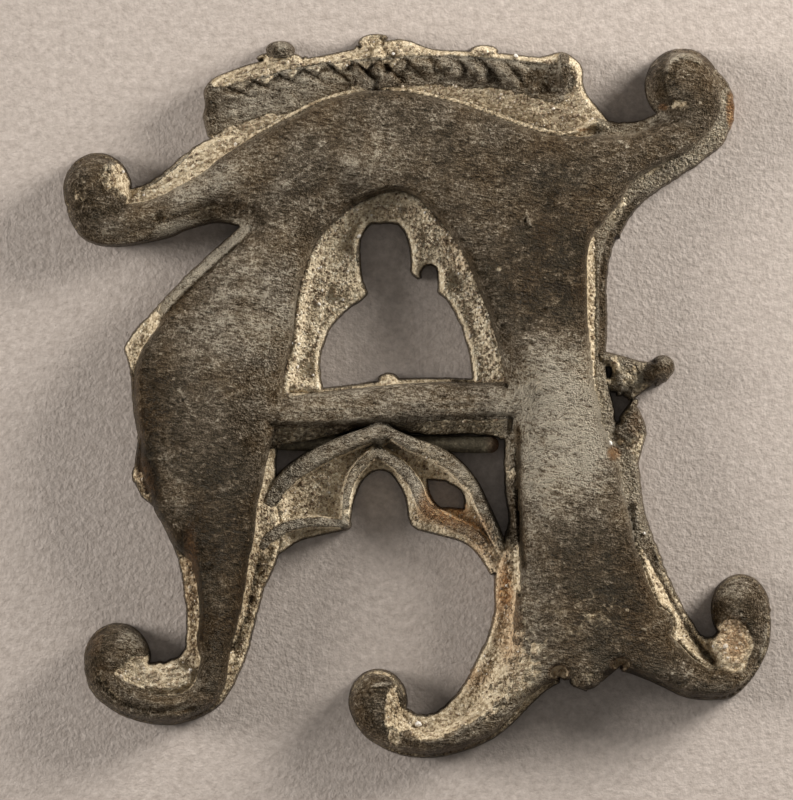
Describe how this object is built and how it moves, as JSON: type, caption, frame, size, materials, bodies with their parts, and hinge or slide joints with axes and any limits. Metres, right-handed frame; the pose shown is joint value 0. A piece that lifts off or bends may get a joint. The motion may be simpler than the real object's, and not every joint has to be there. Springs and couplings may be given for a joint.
{
  "type": "medieval badge",
  "caption": "Flat cast pewter badge: an openwork Gothic letter with curled ends under a crown band, with a round pin bar behind its crossbar.",
  "frame": {"origin": "middle of the badge's outline, on its flat back", "axes": "+X to the badge's right and +Y to its crowned top as seen from the front, +Z out of the front"},
  "size_m": [0.0356, 0.0362, 0.0034],
  "materials": {
    "pewter": "lead-tin casting with a smooth dark brown patina and pale sandy burial crust in the recesses",
    "pin_metal": "corroded dark reddish brown metal"
  },
  "bodies": {
    "root": {"casting": "pewter", "pin": "pin_metal"}
  },
  "joints": []
}
